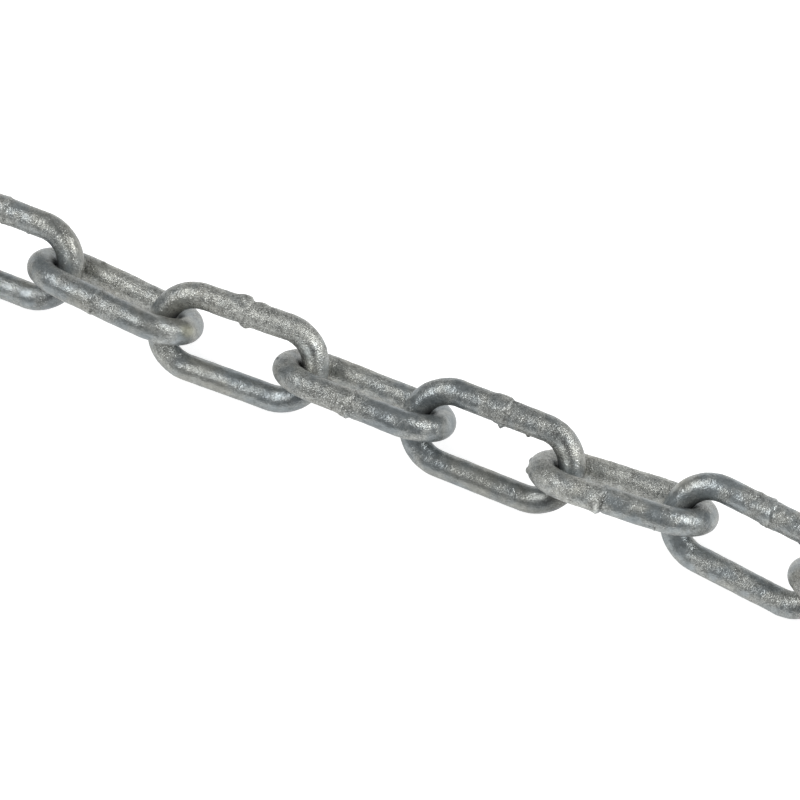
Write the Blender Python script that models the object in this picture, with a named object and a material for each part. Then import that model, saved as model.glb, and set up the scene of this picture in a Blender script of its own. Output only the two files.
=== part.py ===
"""A straight length of galvanised long-link chain, made of butt-welded oval links of round steel wire.

Run it with blender --background --python part.py, or from Blender's text editor.
Metres, +Z up. The chain lies stretched along X on the plane z = 0, with the origin under its middle.
Neighbouring links are a quarter turn apart, so each lies rolled 45 degrees and rests on one of its bars.
"""

import math

import bpy
from mathutils import Matrix, Vector

# Driving dimensions
WIRE_DIAMETER = 0.008
INSIDE_LENGTH = 0.040
OUTSIDE_WIDTH = 0.030
CONTACT_GAP = 0.00027
# More gap for each radian between two neighbours' headings, which brings the flats of their wires closer
BEND_ROOM = 0.0011

# The butt weld in the middle of the raised bar is a low ring: distance along the bar, then rise over the wire
WELD_PROFILE = ((0.0000, 0.00045), (0.0010, 0.00032), (0.0021, 0.00000))

# Which way each link points along the ground, from the first to the last, in degrees from +X
HEADINGS = (1.0, -3.5, 2.5, 0.5, 0.5, 5.0, -5.5, 1.5)

# A link's roll about its own length, for links of odd and of even number
ODD_ROLL = math.radians(45)
EVEN_ROLL = math.radians(135)

# How finely the round shapes are faceted
WIRE_SIDES = 16
CROWN_CORNERS = 16

# The link that the others hang from, outwards to both ends
MIDDLE_LINK = 4

# Zinc coating
ZINC_COLOR = (0.23, 0.24, 0.235, 1.0)
ZINC_ROUGHNESS = 0.55
ZINC_METALLIC = 0.75

# Worked out from the driving dimensions
CROWN_RADIUS = (OUTSIDE_WIDTH - WIRE_DIAMETER) / 2
STRAIGHT_LENGTH = INSIDE_LENGTH + WIRE_DIAMETER - 2 * CROWN_RADIUS
PIVOT_OFFSET = (INSIDE_LENGTH + WIRE_DIAMETER) / 2
# A polygon with the wire's own cross-section area
FACET_ANGLE = 2 * math.pi / WIRE_SIDES
CORNER_RADIUS = WIRE_DIAMETER / 2 * math.sqrt(FACET_ANGLE / math.sin(FACET_ANGLE))
FLAT_RADIUS = CORNER_RADIUS * math.cos(FACET_ANGLE / 2)
AXIS_HEIGHT = CROWN_RADIUS * math.sin(ODD_ROLL) + FLAT_RADIUS


def clear_scene():
    for thing in list(bpy.data.objects):
        bpy.data.objects.remove(thing, do_unlink=True)


def zinc_material():
    material = bpy.data.materials.new("galvanised_zinc")
    material.use_nodes = True
    shader = material.node_tree.nodes["Principled BSDF"]
    shader.inputs["Base Color"].default_value = ZINC_COLOR
    shader.inputs["Metallic"].default_value = ZINC_METALLIC
    shader.inputs["Roughness"].default_value = ZINC_ROUGHNESS
    return material


def crown_points(side):
    """Corners of the half turn at one end, from the bar at +Y to the one at -Y, drawn round the true arc."""
    step = math.pi / CROWN_CORNERS
    radius = CROWN_RADIUS / math.cos(step / 2)
    points = []
    for corner in range(CROWN_CORNERS):
        angle = (corner + 0.5) * step
        x = side * (STRAIGHT_LENGTH / 2 + radius * math.sin(angle))
        points.append((x, radius * math.cos(angle), 0.0))
    return points


def weld_points():
    """(x, rise) along the welded bar, from -X to +X."""
    left = [(-along, rise) for along, rise in reversed(WELD_PROFILE) if along > 0]
    return left + list(WELD_PROFILE)


def link_path():
    """The link's centreline as (point, rise over the wire), starting on the welded bar and going once round."""
    half = STRAIGHT_LENGTH / 2
    path = [((-half, CROWN_RADIUS, 0.0), 0.0)]
    path += [((x, CROWN_RADIUS, 0.0), rise) for x, rise in weld_points()]
    path.append(((half, CROWN_RADIUS, 0.0), 0.0))
    path += [(point, 0.0) for point in crown_points(1)]
    path.append(((half, -CROWN_RADIUS, 0.0), 0.0))
    path.append(((-half, -CROWN_RADIUS, 0.0), 0.0))
    path += [(point, 0.0) for point in reversed(crown_points(-1))]
    return path


def link_curve(material):
    """One closed round wire in the XY plane, its long side along X, with the weld in the bar at +Y."""
    curve = bpy.data.curves.new("link_wire", "CURVE")
    curve.dimensions = "3D"
    curve.twist_mode = "Z_UP"
    curve.bevel_depth = CORNER_RADIUS
    curve.bevel_resolution = WIRE_SIDES // 2 - 2
    curve.materials.append(material)
    path = link_path()
    spline = curve.splines.new("POLY")
    spline.points.add(len(path) - 1)
    for point, (place, rise) in zip(spline.points, path):
        point.co = (*place, 1.0)
        point.radius = 1 + rise / CORNER_RADIUS
        # a flat side of the wire, not a corner, faces into the eye and down to the ground
        point.tilt = FACET_ANGLE / 2
    spline.use_cyclic_u = True
    spline.use_smooth = True
    return curve


def link_rotation(number):
    roll = ODD_ROLL if number % 2 else EVEN_ROLL
    heading = math.radians(HEADINGS[number - 1])
    return Matrix.Rotation(heading, 4, "Z") @ Matrix.Rotation(roll, 4, "X")


def direction(number):
    return link_rotation(number).col[0].to_3d()


def gap_before(number):
    """The gap between a link's end bend and that of the link before it."""
    bend = math.radians(abs(HEADINGS[number - 1] - HEADINGS[number - 2]))
    return CONTACT_GAP + BEND_ROOM * bend


def link_centres():
    """Centres of the links: each one's end bend lies in its neighbour's, with the gap between them."""
    half = INSIDE_LENGTH / 2
    centre = Vector((0.0, 0.0, AXIS_HEIGHT))
    centres = [centre]
    for number in range(2, len(HEADINGS) + 1):
        centre = centre + half * direction(number - 1) + (half - gap_before(number)) * direction(number)
        centres.append(centre)
    return centres


def parent_in_place(child, parent):
    bpy.context.view_layer.update()
    child.parent = parent
    child.matrix_parent_inverse = parent.matrix_world.inverted()


def add_pivot(collection, number, inner, link):
    """An empty on the hinge between a link and its inner neighbour: the middle of the neighbour's end wire."""
    outward = 1 if number > inner else -1
    pivot = bpy.data.objects.new(f"pivot_{min(number, inner)}_{max(number, inner)}", None)
    pivot.matrix_world = link.matrix_world @ Matrix.Translation((outward * PIVOT_OFFSET, 0.0, 0.0))
    pivot.empty_display_size = WIRE_DIAMETER
    collection.objects.link(pivot)
    return pivot


def surface_points(thing, graph):
    """Every corner of a curve's finished surface, in world space."""
    evaluated = thing.evaluated_get(graph)
    mesh = evaluated.to_mesh()
    points = [thing.matrix_world @ vertex.co for vertex in mesh.vertices]
    evaluated.to_mesh_clear()
    return points


def centre_on_origin(links):
    """Moves the chain along the ground so that the middle of its bounding box is over the origin."""
    bpy.context.view_layer.update()
    graph = bpy.context.evaluated_depsgraph_get()
    points = [point for link in links.values() for point in surface_points(link, graph)]
    for axis in range(2):
        low = min(point[axis] for point in points)
        high = max(point[axis] for point in points)
        for link in links.values():
            link.location[axis] -= (low + high) / 2
    bpy.context.view_layer.update()


def build_chain():
    collection = bpy.data.collections.new("steel_chain")
    bpy.context.scene.collection.children.link(collection)
    curve = link_curve(zinc_material())
    links = {}
    for number, centre in enumerate(link_centres(), start=1):
        link = bpy.data.objects.new(f"link_{number}", curve)
        link.matrix_world = Matrix.Translation(centre) @ link_rotation(number)
        collection.objects.link(link)
        links[number] = link
    centre_on_origin(links)
    for number, link in links.items():
        if number == MIDDLE_LINK:
            continue
        inner = number - 1 if number > MIDDLE_LINK else number + 1
        pivot = add_pivot(collection, number, inner, links[inner])
        parent_in_place(pivot, links[inner])
        parent_in_place(link, pivot)


clear_scene()
build_chain()
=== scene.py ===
"""The looks of the galvanised steel chain: its dressed links, zinc coating, floor, light and camera."""

import math

import bpy
import numpy as np
from mathutils import Matrix, Vector, noise


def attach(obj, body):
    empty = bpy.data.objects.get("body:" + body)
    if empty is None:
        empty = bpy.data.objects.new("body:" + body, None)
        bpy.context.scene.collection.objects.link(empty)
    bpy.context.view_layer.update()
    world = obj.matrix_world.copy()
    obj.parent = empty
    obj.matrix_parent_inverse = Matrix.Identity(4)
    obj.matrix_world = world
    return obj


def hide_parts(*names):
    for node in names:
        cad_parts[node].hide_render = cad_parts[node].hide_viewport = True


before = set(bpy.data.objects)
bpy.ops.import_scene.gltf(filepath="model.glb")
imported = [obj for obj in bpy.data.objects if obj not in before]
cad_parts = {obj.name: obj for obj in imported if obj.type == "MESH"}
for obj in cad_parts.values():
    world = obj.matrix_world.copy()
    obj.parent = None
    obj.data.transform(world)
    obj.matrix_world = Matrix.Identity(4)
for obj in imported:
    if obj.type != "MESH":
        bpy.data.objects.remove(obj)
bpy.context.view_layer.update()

# Camera, set by matching the chain's outline to the photograph's
CAMERA_AZIMUTH = math.radians(24.7)
CAMERA_ELEVATION = math.radians(62.0)
CAMERA_DISTANCE = 1.0
IMAGE_SIZE = 800
PIXELS_PER_TANGENT = 3503
AIM_LINK = "link_4"
AIM_LINK_PIXEL = (364.2, 395.0)

# Two upright softboxes: the direction (to the right, up) of the surfaces that mirror each one to the camera,
# its width and height in metres and its power in watts
SOFTBOX_DISTANCE = 1.3
SOFTBOXES = {
    "softbox_left": dict(glint=(-0.31, 0.20), width=0.30, height=1.3, power=9.4),
    "softbox_right": dict(glint=(0.42, 0.15), width=0.40, height=1.0, power=11.4),
}
WORLD_STRENGTH = 0.375

# The link's own dimensions, as in the part
CROWN_RADIUS = 0.011
HALF_STRAIGHT = 0.013
WIRE_RADIUS = 0.0039
LINK_LINE = 4 * HALF_STRAIGHT + 2 * math.pi * CROWN_RADIUS

# How finely a dressed link is drawn
STEPS_ALONG = 440
STEPS_ROUND = 84

MM = 0.001


# Frames of the links

def node_points(node):
    return np.array([vertex.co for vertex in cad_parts[node].data.vertices], float)


def link_frame(node):
    """Centre and three directions of a link: along the chain, towards its raised bar, and square to its plane."""
    points = node_points(node)
    spread = np.linalg.svd(points - points.mean(0), full_matrices=False)[2]
    along = spread[0] * np.sign(spread[0][0])
    raised = spread[1] * np.sign(spread[1][2])
    square = np.cross(along, raised)
    local = points @ np.array([along, raised, square]).T
    ends = np.abs(local[:, 0] - (local[:, 0].min() + local[:, 0].max()) / 2) > HALF_STRAIGHT + 0.001
    middle = [(part.min() + part.max()) / 2 for part in (local[:, 0], local[ends, 1], local[:, 2])]
    centre = middle[0] * along + middle[1] * raised + middle[2] * square
    return centre, along, raised, square


# The wire of a link, in millimetres: arc is the distance along its centreline from the middle of the raised bar
# towards +X, and angle goes round the wire, 0 away from the eye and 90 to the side that faces up

def centreline(arc):
    """Places and outward directions in the link's plane, as (along, raised) pairs."""
    total = LINK_LINE
    arc = np.mod(arc, total)
    bend = math.pi * CROWN_RADIUS
    places = np.zeros((len(arc), 2))
    outward = np.zeros((len(arc), 2))
    first = arc < HALF_STRAIGHT
    places[first] = np.c_[arc[first], np.full(first.sum(), CROWN_RADIUS)]
    outward[first] = (0, 1)
    rest = arc - HALF_STRAIGHT
    right = (rest >= 0) & (rest < bend)
    turn = rest[right] / CROWN_RADIUS
    outward[right] = np.c_[np.sin(turn), np.cos(turn)]
    places[right] = CROWN_RADIUS * outward[right] + (HALF_STRAIGHT, 0)
    rest = rest - bend
    lower = (rest >= 0) & (rest < 2 * HALF_STRAIGHT)
    places[lower] = np.c_[HALF_STRAIGHT - rest[lower], np.full(lower.sum(), -CROWN_RADIUS)]
    outward[lower] = (0, -1)
    rest = rest - 2 * HALF_STRAIGHT
    left = (rest >= 0) & (rest < bend)
    turn = rest[left] / CROWN_RADIUS
    outward[left] = np.c_[-np.sin(turn), -np.cos(turn)]
    places[left] = CROWN_RADIUS * outward[left] + (-HALF_STRAIGHT, 0)
    rest = rest - bend
    last = rest >= 0
    places[last] = np.c_[rest[last] - HALF_STRAIGHT, np.full(last.sum(), CROWN_RADIUS)]
    outward[last] = (0, 1)
    return places, outward


# The butt weld of each link: its middle (mm), how far its ring leans along the bar (mm) and towards which angle,
# the height of its lip, depth of the groove beside it and height of its swelling (mm), and the step from one
# wire end to the other (mm, towards an angle)
WELDS = {
    1: dict(at=0.4, lean=0.5, lean_to=60, lip=0.25, groove=0.10, swell=0.16, step=0.20, step_to=20),
    2: dict(at=-1.2, lean=0.4, lean_to=200, lip=0.14, groove=0.10, swell=0.18, step=0.15, step_to=40),
    3: dict(at=-0.2, lean=0.9, lean_to=10, lip=0.20, groove=0.30, swell=0.10, step=0.80, step_to=0),
    4: dict(at=-0.8, lean=0.6, lean_to=20, lip=0.25, groove=0.22, swell=0.25, step=0.20, step_to=60),
    5: dict(at=0.9, lean=0.5, lean_to=20, lip=0.30, groove=0.20, swell=0.20, step=0.35, step_to=0),
    6: dict(at=-4.2, lean=0.6, lean_to=200, lip=0.60, groove=0.60, swell=0.10, step=0.50, step_to=70),
    7: dict(at=0.8, lean=0.6, lean_to=100, lip=0.24, groove=0.15, swell=0.20, step=0.25, step_to=330),
    8: dict(at=-0.3, lean=0.5, lean_to=250, lip=0.26, groove=0.12, swell=0.18, step=0.20, step_to=80),
}

# Drops, burrs and pits of the zinc on each link: arc (mm), angle (degrees), radius and height (mm)
DROPS = {
    1: ((-1.2, 150, 0.8, 0.35), (9.0, 170, 0.5, 0.25), (-21.0, 20, 0.9, 0.20)),
    2: ((-0.7, 40, 0.9, 0.45), (-1.7, 352, 0.6, -0.60), (-50.0, 270, 0.9, 0.25), (6.0, 30, 1.1, 0.15),
        (-9.0, 90, 2.6, 0.20), (4.5, 100, 2.2, 0.15)),
    3: ((-2.0, 350, 1.9, 0.55), (3.8, 0, 1.8, 0.40), (0.9, 156, 1.1, 0.60), (-0.6, 138, 1.0, 0.30),
        (-16.0, 200, 0.9, 0.20), (48.0, 250, 1.2, 0.15), (-1.4, 40, 0.8, -0.35), (-3.6, 75, 1.0, -0.20)),
    4: ((-0.6, 44, 1.6, 0.50), (-2.2, 52, 0.8, 0.30), (-0.8, 12, 0.6, -0.55), (-2.0, 0, 0.6, -0.40),
        (1.4, 8, 0.6, -0.30), (-26.8, 326, 0.6, 0.40)),
    5: ((-1.4, 356, 2.2, 0.36), (2.6, 8, 0.9, 0.30), (1.0, 152, 0.9, 0.80), (-0.6, 138, 1.2, 0.35),
        (9.2, 156, 0.55, 0.55)),
    6: ((-27.4, 14, 0.9, 0.60), (-29.6, 340, 0.8, 0.35), (-24.7, 18, 0.9, 0.25), (12.4, 44, 0.7, 0.55),
        (11.0, 42, 0.6, 0.45), (-5.6, 44, 1.2, 0.25), (-3.6, 20, 0.9, -0.30)),
    7: ((0.2, 140, 1.1, 0.45), (12.0, 160, 0.6, 0.30), (-4.0, 350, 1.2, 0.20), (-31.0, 60, 1.0, 0.2)),
    8: ((-1.5, 45, 1.2, 0.40), (4.0, 20, 0.7, 0.25), (24.0, 340, 0.8, 0.3)),
}

# The zinc along each link: (arc in mm, how grainy it is from 0 to 1, how light beside the others)
ZINC = {
    1: ((-30, 0.3, 0.95), (0, 0.6, 0.95), (18, 0.4, 0.88), (30, 0.25, 0.88), (60, 0.3, 1.0)),
    2: ((-30, 0.4, 0.94), (-8, 0.5, 0.86), (6, 0.45, 0.84), (14, 0.15, 0.80), (20, 0.4, 1.05), (32, 0.3, 1.0),
        (60, 0.9, 1.06)),
    3: ((-38, 0.6, 1.0), (-26, 0.25, 1.0), (-12, 0.8, 1.0), (4, 1.0, 1.02), (18, 0.9, 1.03), (26, 0.7, 1.0),
        (33, 0.2, 0.93), (50, 0.15, 0.93), (70, 0.1, 0.97)),
    4: ((-32, 0.6, 0.92), (-12, 0.6, 0.83), (-1, 0.85, 0.82), (9, 0.0, 0.80), (20, 0.5, 0.90), (32, 0.15, 0.95),
        (60, 0.7, 1.10)),
    5: ((-30, 0.25, 0.88), (-14, 0.35, 0.84), (-3, 0.65, 0.82), (6, 0.65, 0.82), (16, 0.6, 0.88), (26, 0.6, 0.90),
        (33, 0.2, 0.88), (60, 0.12, 0.84)),
    6: ((-30, 0.7, 1.0), (-6, 0.85, 1.0), (-1, 0.4, 0.92), (12, 0.35, 0.96), (24, 0.4, 0.98), (60, 0.95, 1.12)),
    7: ((-30, 0.2, 1.0), (-8, 0.4, 1.0), (6, 0.6, 1.0), (30, 0.5, 1.0), (60, 0.5, 1.0)),
    8: ((-30, 0.4, 1.0), (0, 0.6, 1.0), (30, 0.4, 1.0), (60, 0.4, 1.0)),
}

# Painted light and shade on a link's zinc: arc (mm) and angle (degrees) of the middle, reach along the wire (mm) and
# round it (degrees), and the share of the colour's lightness they take. Above 0 it is painted shade, such as the
# shadow where a bend passes under its neighbour, the dark gap between a bend's two glints and the dark line beside
# link 6's weld ridge;
# below 0 it is a painted highlight, such as the glint streaks down the bends and the lit flank of link 6's weld
# ridge.
PAINTED_LIGHT_PATCHES = {
    1: ((38, 70, 6.0, 60, 0.40), (20.0, 45, 4.0, 14, 0.30), (23.0, 76, 5.0, 12, -0.60)),
    3: ((37, 85, 5.0, 50, 0.35), (22.5, 95, 6.5, 13, -1.2), (21.5, 50, 5.5, 14, -0.45), (24.0, 74, 4.0, 9, 0.25)),
    5: ((37, 75, 6.5, 65, 0.55), (23.5, 98, 5.5, 13, -1.4), (23.0, 50, 5.5, 13, -0.55), (19.0, 73, 7.0, 9, 0.30)),
    6: ((-3.4, 25, 0.5, 75, 0.60), (-4.6, 25, 0.6, 60, -0.50), (-9.5, 20, 4.0, 30, -0.20)),
    7: ((37, 75, 6.0, 60, 0.40), (23.0, 95, 5.0, 13, -0.9), (23.0, 50, 5.0, 13, -0.4)),
}

# A yellowish stain: arc (mm), angle (degrees) and radius (mm)
STAINS = {2: (25.6, 328, 2.2)}


def turn_between(angle, other):
    """Signed difference of two angles in degrees, from -180 to 180."""
    return (angle - other + 180) % 360 - 180


def arc_between(arc, other):
    """Signed distance along the closed line, in millimetres."""
    whole = LINK_LINE / MM
    return (arc - other + whole / 2) % whole - whole / 2


def weld_ring(arc, angle, weld):
    """Distance in millimetres past the weld's ragged ring, and the shares of its lip and of the groove beside it."""
    lean = weld["lean"] * np.cos(np.radians(angle - weld["lean_to"]))
    ragged = 0.18 * np.sin(np.radians(3 * angle + 40 * weld["at"])) + 0.12 * np.sin(np.radians(7 * angle + 90))
    away = arc_between(arc, weld["at"]) - lean - ragged
    uneven = 0.65 + 0.35 * np.sin(np.radians(2 * angle + 77 * weld["at"])) * np.cos(np.radians(5 * angle))
    lip = uneven * np.exp(-((away / 0.55) ** 2))
    groove = uneven * np.exp(-(((away - 0.9) / 0.45) ** 2))
    return away, lip, groove


def weld_rise(arc, angle, weld):
    """Rise of the weld over the plain wire, in millimetres."""
    away, lip, groove = weld_ring(arc, angle, weld)
    swell = np.exp(-((away / 2.6) ** 2))
    side = -np.tanh(away / 0.25) * np.exp(-np.abs(away) / 4.5)
    step = 0.5 * weld["step"] * side * np.cos(np.radians(angle - weld["step_to"]))
    return weld["lip"] * lip - weld["groove"] * groove + weld["swell"] * swell + step


def distance_to(arc, angle, place, towards):
    """Distance over the wire's surface to one spot, in millimetres."""
    across = np.radians(turn_between(angle, towards)) * WIRE_RADIUS / MM
    return np.hypot(arc_between(arc, place), across)


def drop_rise(arc, angle, drops):
    rise = np.zeros_like(arc)
    for place, towards, radius, height in drops:
        far = distance_to(arc, angle, place, towards) / radius
        rise += height * np.exp(-0.8 * far ** 4 - 0.35 * far ** 2)
    return rise


def along_link(arc, number):
    """How grainy and how light the zinc is."""
    places, grainy, light = np.array(ZINC[number]).T
    return [np.interp(arc, places, values, period=LINK_LINE / MM) for values in (grainy, light)]


def painted_light_share(arc, angle, number):
    """Share of its colour's lightness that the zinc keeps under the painted shade and painted highlights."""
    kept = np.ones_like(arc)
    for place, towards, reach, reach_round, share in PAINTED_LIGHT_PATCHES.get(number, ()):
        far = (arc_between(arc, place) / reach) ** 2 + (turn_between(angle, towards) / reach_round) ** 2
        kept *= 1 - share * np.exp(-far ** 1.6)
    return kept


def painted_contact_shade(arc, angle):
    """Painted shade where the neighbouring links pass through, in the middle of both bends on the side of the eye.
    """
    whole = LINK_LINE / MM
    away = np.minimum(np.abs(arc_between(arc, whole / 4)), np.abs(arc_between(arc, -whole / 4)))
    return np.exp(-((away / 9.0) ** 2)) * np.exp(-((turn_between(angle, 180) / 55.0) ** 2))


def stain(arc, angle, number):
    if number not in STAINS:
        return np.zeros_like(arc)
    place, towards, radius = STAINS[number]
    return np.exp(-((distance_to(arc, angle, place, towards) / radius) ** 2))


def lumps(points, grainy, number):
    """Unevenness of the dipped coating at three sizes, in millimetres, from solid noise."""
    out = np.zeros(len(points))
    shift = Vector((13.0 * number, 7.0, 3.0))
    for row, point in enumerate(points):
        place = Vector(point) / MM + shift
        coarse = noise.noise(place / 7.0)
        middle = noise.noise(place / 2.6 + shift)
        fine = noise.noise(place / 0.9 - shift)
        out[row] = (0.06 + 0.14 * grainy[row]) * coarse + 0.06 * middle + (0.02 + 0.05 * grainy[row]) * fine
    return out


def link_surface(number):
    """Corners of a dressed link in the row frame, with what its zinc is like at each and the light and shade painted
    on it.
    """
    centre, along, raised, square = link_frame(f"link_{number}")
    arcs = np.arange(STEPS_ALONG) * LINK_LINE / STEPS_ALONG
    places, outward = centreline(arcs)
    angles = np.arange(STEPS_ROUND) * 360.0 / STEPS_ROUND
    arc = np.repeat(arcs / MM, STEPS_ROUND)
    angle = np.tile(angles, STEPS_ALONG)
    line = centre + places[:, :1] * along + places[:, 1:] * raised
    out = outward[:, :1] * along + outward[:, 1:] * raised
    line, out = np.repeat(line, STEPS_ROUND, 0), np.repeat(out, STEPS_ROUND, 0)
    turn = np.radians(angle)[:, None]
    ray = np.cos(turn) * out + np.sin(turn) * square
    plain = line + WIRE_RADIUS * ray
    grainy, light = along_link(arc, number)
    rise = weld_rise(arc, angle, WELDS[number]) + drop_rise(arc, angle, DROPS[number]) + lumps(plain, grainy, number)
    lip, groove = weld_ring(arc, angle, WELDS[number])[1:]
    # Besides the zinc's own lightness along the link, the tone holds painted light: the painted shade and highlights
    # of the patches, a painted highlight on the weld's lip and painted shade in the groove beside it
    tone_and_painted_light = light * painted_light_share(arc, angle, number) * (1 + 0.35 * lip - 0.45 * groove)
    # besides the zinc's own grain and stain, these attributes carry painted light: the tone's painted shade and
    # highlights and the painted shade inside the bends
    coating = {"grainy": grainy, "tone_and_painted_light": tone_and_painted_light, "painted_contact_shade": painted_contact_shade(arc, angle), "stained": stain(arc, angle, number)}
    return plain + (rise * MM)[:, None] * ray, coating


def dressed_link(number, material):
    points, coating = link_surface(number)
    grid = np.arange(STEPS_ALONG * STEPS_ROUND).reshape(STEPS_ALONG, STEPS_ROUND)
    on = np.roll(grid, -1, 0)
    faces = np.stack([grid, np.roll(grid, -1, 1), np.roll(on, -1, 1), on], -1).reshape(-1, 4)
    mesh = bpy.data.meshes.new(f"dressed_link_{number}")
    mesh.from_pydata(points.tolist(), [], faces.tolist())
    mesh.polygons.foreach_set("use_smooth", np.ones(len(faces), bool))
    for name, values in coating.items():
        mesh.attributes.new(name, "FLOAT", "POINT").data.foreach_set("value", values.astype(np.float32))
    mesh.materials.append(material)
    mesh.validate()
    link = bpy.data.objects.new(f"dressed_link_{number}", mesh)
    bpy.context.scene.collection.objects.link(link)
    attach(link, f"link_{number}")
    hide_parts(f"link_{number}")
    return link


# Zinc coating, with its painted light and shade

SMOOTH_GREY = (0.234, 0.257, 0.266, 1.0)
GRAINY_GREY = (0.282, 0.285, 0.266, 1.0)
WARM_GREY = (0.300, 0.294, 0.260, 1.0)
STAIN_GREY = (0.350, 0.345, 0.250, 1.0)
PALE_CRYSTAL = (0.55, 0.56, 0.545, 1.0)
DARK_PIT = (0.11, 0.115, 0.115, 1.0)
# near-black of the painted shade inside the bends
CONTACT_SHADE_GREY = (0.070, 0.075, 0.078, 1.0)


class Graph:
    """Short calls for building a material's nodes."""

    def __init__(self, material):
        material.use_nodes = True
        self.tree = material.node_tree
        self.shader = self.tree.nodes["Principled BSDF"]

    def add(self, kind, **settings):
        node = self.tree.nodes.new(kind)
        for name, value in settings.items():
            setattr(node, name, value)
        return node

    def join(self, source, target):
        self.tree.links.new(source, target)

    def noise(self, place, scale, detail=2.0, roughness=0.5, distortion=0.0):
        node = self.add("ShaderNodeTexNoise")
        self.join(place, node.inputs["Vector"])
        node.inputs["Scale"].default_value = scale
        node.inputs["Detail"].default_value = detail
        node.inputs["Roughness"].default_value = roughness
        node.inputs["Distortion"].default_value = distortion
        return node.outputs["Fac"]

    def ramp(self, value, low, high, out_low=0.0, out_high=1.0, smooth=True):
        node = self.add("ShaderNodeMapRange", interpolation_type="SMOOTHSTEP" if smooth else "LINEAR")
        self.join(value, node.inputs["Value"])
        for name, number in (("From Min", low), ("From Max", high), ("To Min", out_low), ("To Max", out_high)):
            node.inputs[name].default_value = number
        return node.outputs["Result"]

    def math(self, operation, first, second=None):
        node = self.add("ShaderNodeMath", operation=operation)
        for slot, value in enumerate((first, second)):
            if isinstance(value, (int, float)):
                node.inputs[slot].default_value = value
            elif value is not None:
                self.join(value, node.inputs[slot])
        return node.outputs["Value"]

    def attribute(self, name):
        return self.add("ShaderNodeAttribute", attribute_name=name).outputs["Fac"]

    def scale(self, colour, factor):
        node = self.add("ShaderNodeVectorMath", operation="SCALE")
        self.join(colour, node.inputs[0])
        self.join(factor, node.inputs["Scale"])
        return node.outputs[0]

    def mix(self, share, first, second):
        node = self.add("ShaderNodeMix", data_type="RGBA")
        for name, value in (("Factor", share), ("A", first), ("B", second)):
            socket = next(s for s in node.inputs if s.name == name and s.enabled)
            if isinstance(value, (int, float, tuple)):
                socket.default_value = value
            else:
                self.join(value, socket)
        return next(s for s in node.outputs if s.enabled)


def zinc_material():
    """Dull zinc: smooth blue-grey stretches, and grainy ones with pale crystals and dark pits, with the painted
    shade and painted highlights that the links' attributes carry.
    """
    material = bpy.data.materials.new("zinc_with_painted_light")
    graph = Graph(material)
    shader = graph.shader.inputs
    place = graph.add("ShaderNodeVectorMath", operation="SCALE")
    graph.join(graph.add("ShaderNodeTexCoord").outputs["Object"], place.inputs[0])
    place.inputs["Scale"].default_value = 1 / MM
    place = place.outputs[0]

    patches = graph.noise(place, 0.22, detail=2.0)
    grainy = graph.math("ADD", graph.attribute("grainy"), graph.ramp(patches, 0.3, 0.7, -0.28, 0.28))
    blotches = graph.noise(place, 0.45, detail=2.0, roughness=0.6)
    warmth = graph.noise(place, 0.07, detail=2.0, distortion=0.4)
    grain = graph.noise(place, 1.8, detail=2.0, roughness=0.65)
    flecks = graph.noise(place, 2.9, detail=0.0)

    colour = graph.mix(graph.ramp(grainy, 0.0, 1.0), SMOOTH_GREY, GRAINY_GREY)
    colour = graph.mix(graph.ramp(warmth, 0.48, 0.70, 0.0, 0.7), colour, WARM_GREY)
    colour = graph.mix(graph.ramp(graph.attribute("stained"), 0.1, 0.9, 0.0, 0.5), colour, STAIN_GREY)
    mottle = graph.math("MULTIPLY", graph.math("SUBTRACT", blotches, 0.5), graph.ramp(grainy, 0.0, 1.0, 1.0, 1.8))
    speckle = graph.math("MULTIPLY", graph.math("SUBTRACT", grain, 0.5), graph.ramp(grainy, 0.0, 1.0, 0.3, 1.3))
    uneven = graph.math("ADD", graph.math("ADD", mottle, speckle), 1.0)
    # the tone darkens and lightens the colour, painted shade and painted highlights included
    colour = graph.scale(colour, graph.math("MULTIPLY", uneven, graph.attribute("tone_and_painted_light")))
    crystals = graph.math("MULTIPLY", graph.ramp(flecks, 0.56, 0.68), graph.ramp(grainy, 0.0, 1.0, 0.10, 0.60))
    colour = graph.mix(crystals, colour, PALE_CRYSTAL)
    pits = graph.math("MULTIPLY", graph.ramp(grain, 0.38, 0.28), graph.ramp(grainy, 0.1, 1.0, 0.1, 0.55))
    colour = graph.mix(pits, colour, DARK_PIT)
    # painted shade: near-black inside the bends where the neighbouring links pass through
    colour = graph.mix(graph.ramp(graph.attribute("painted_contact_shade"), 0.08, 0.9, 0.0, 0.95), colour, CONTACT_SHADE_GREY)
    graph.join(colour, shader["Base Color"])

    shader["Metallic"].default_value = 0.75
    shader["Specular Tint"].default_value = (0.7, 0.7, 0.7, 1.0)
    rough = graph.math("SUBTRACT", graph.ramp(grainy, 0.0, 1.0, 0.30, 0.36), graph.math("MULTIPLY", crystals, 0.15))
    graph.join(rough, shader["Roughness"])

    height = graph.math("ADD", graph.math("MULTIPLY", grain, 0.14), graph.math("MULTIPLY", flecks, 0.065))
    height = graph.math("MULTIPLY", height, graph.ramp(grainy, 0.0, 1.0, 0.6, 1.7))
    bump = graph.add("ShaderNodeBump")
    bump.inputs["Distance"].default_value = MM
    graph.join(height, bump.inputs["Height"])
    graph.join(bump.outputs["Normal"], shader["Normal"])
    return material


# Camera, floor and light

def camera_axes():
    """Towards the camera, to its right and up."""
    flat = math.cos(CAMERA_ELEVATION)
    back = Vector((flat * math.sin(CAMERA_AZIMUTH), -flat * math.cos(CAMERA_AZIMUTH), math.sin(CAMERA_ELEVATION)))
    right = Vector((math.cos(CAMERA_AZIMUTH), math.sin(CAMERA_AZIMUTH), 0.0))
    return back, right, back.cross(right)


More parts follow.
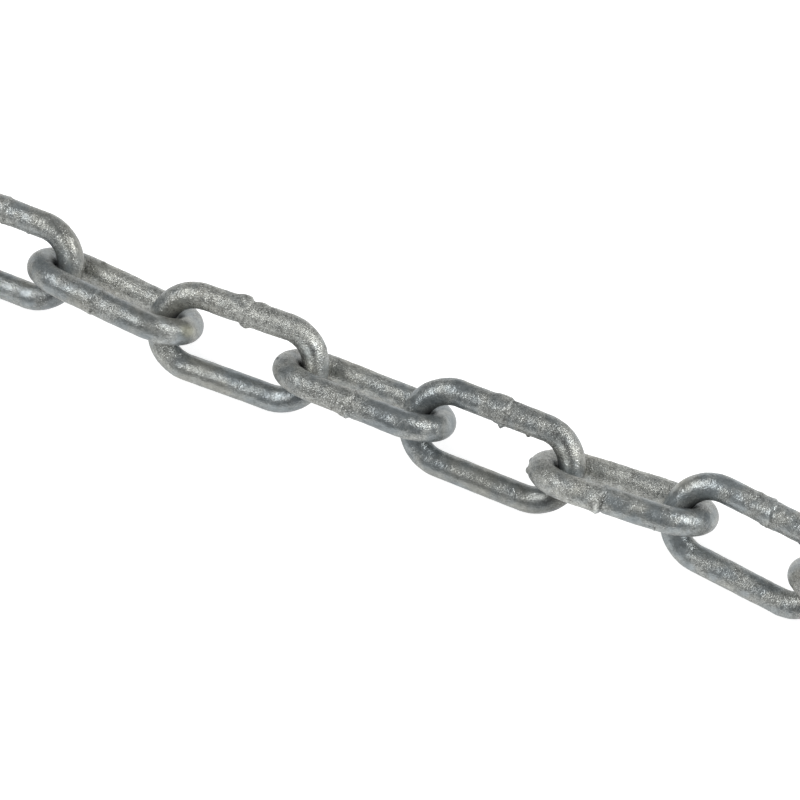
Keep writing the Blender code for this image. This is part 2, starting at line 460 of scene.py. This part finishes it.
def aim_point():
    back, right, up = camera_axes()
    metres = CAMERA_DISTANCE / PIXELS_PER_TANGENT
    aside = (IMAGE_SIZE / 2 - AIM_LINK_PIXEL[0]) * metres
    below = (IMAGE_SIZE / 2 - AIM_LINK_PIXEL[1]) * metres
    return Vector(link_frame(AIM_LINK)[0]) + right * aside - up * below


def add_camera():
    back, right, up = camera_axes()
    data = bpy.data.cameras.new("camera")
    data.sensor_width = 36.0
    data.lens = data.sensor_width * PIXELS_PER_TANGENT / IMAGE_SIZE
    data.clip_start = 0.05
    data.clip_end = 20.0
    camera = bpy.data.objects.new("camera", data)
    turn = Matrix((right, up, back)).transposed()
    camera.matrix_world = Matrix.Translation(aim_point() + back * CAMERA_DISTANCE) @ turn.to_4x4()
    bpy.context.scene.collection.objects.link(camera)
    bpy.context.scene.camera = camera


def add_softbox(name, glint, width, height, power):
    """An upright soft light that shows in the surfaces whose direction, as the camera sees it, is glint."""
    back, right, up = camera_axes()
    facing = right * glint[0] + up * glint[1] + back * math.sqrt(1 - glint[0] ** 2 - glint[1] ** 2)
    towards = 2 * facing.dot(back) * facing - back
    across = up.cross(towards).normalized()
    data = bpy.data.lights.new(name, "AREA")
    data.shape = "RECTANGLE"
    data.size = width
    data.size_y = height
    data.energy = power
    light = bpy.data.objects.new(name, data)
    turn = Matrix((across, towards.cross(across), towards)).transposed()
    light.matrix_world = Matrix.Translation(towards * SOFTBOX_DISTANCE) @ turn.to_4x4()
    bpy.context.scene.collection.objects.link(light)


def add_lights():
    for name, settings in SOFTBOXES.items():
        add_softbox(name, **settings)


def add_surroundings():
    world = bpy.data.worlds.new("studio")
    world.use_nodes = True
    background = world.node_tree.nodes["Background"]
    background.inputs["Color"].default_value = (0.97, 0.99, 1.0, 1.0)
    background.inputs["Strength"].default_value = WORLD_STRENGTH
    bpy.context.scene.world = world


def floor_material():
    material = bpy.data.materials.new("white_paper")
    graph = Graph(material)
    place = graph.add("ShaderNodeTexCoord").outputs["Object"]
    tint = graph.mix(graph.noise(place, 40.0), (0.63, 0.63, 0.63, 1.0), (0.65, 0.65, 0.65, 1.0))
    graph.join(tint, graph.shader.inputs["Base Color"])
    graph.shader.inputs["Roughness"].default_value = 0.9
    graph.shader.inputs["Specular IOR Level"].default_value = 0.2
    graph.shader.inputs["Emission Color"].default_value = (1.0, 1.0, 1.0, 1.0)
    graph.shader.inputs["Emission Strength"].default_value = 0.75
    return material


def add_floor():
    mesh = bpy.data.meshes.new("floor")
    half = 4.0
    mesh.from_pydata([(-half, -half, 0), (half, -half, 0), (half, half, 0), (-half, half, 0)], [], [(0, 1, 2, 3)])
    mesh.materials.append(floor_material())
    floor = bpy.data.objects.new("floor", mesh)
    bpy.context.scene.collection.objects.link(floor)


zinc = zinc_material()
for link_number in sorted(WELDS):
    dressed_link(link_number, zinc)
add_camera()
add_lights()
add_surroundings()
add_floor()
bpy.context.scene.view_settings.view_transform = "Standard"
